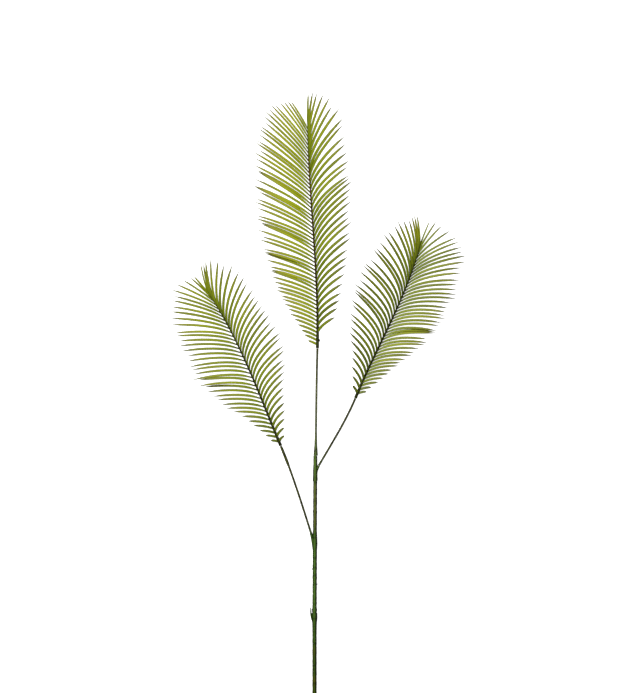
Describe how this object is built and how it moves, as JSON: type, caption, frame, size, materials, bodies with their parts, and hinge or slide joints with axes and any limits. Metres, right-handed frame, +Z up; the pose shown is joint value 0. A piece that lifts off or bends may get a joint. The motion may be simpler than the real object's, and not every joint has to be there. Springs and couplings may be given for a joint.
{
  "type": "cycad leaf spray",
  "caption": "Cut spray of feathery cycad leaves with narrow leaflets on petioles of one branching green stem, lying flat.",
  "frame": {"origin": "on the surface the spray lies on, under the middle of its bounding box", "axes": "+Y along the stem from its cut end towards the leaf tips, +X to the right of the picture, +Z up from the surface"},
  "size_m": [0.4138, 0.8498, 0.0573],
  "materials": {
    "stem": "satin",
    "petiole": "satin",
    "leaf": "satin"
  },
  "bodies": {
    "root": {"lower_stem": "stem", "main_stem": "stem", "petiole_top": "petiole", "petiole_left": "petiole", "petiole_right": "petiole", "leaf_top": "leaf", "leaf_left": "leaf", "leaf_right": "leaf"}
  },
  "joints": []
}
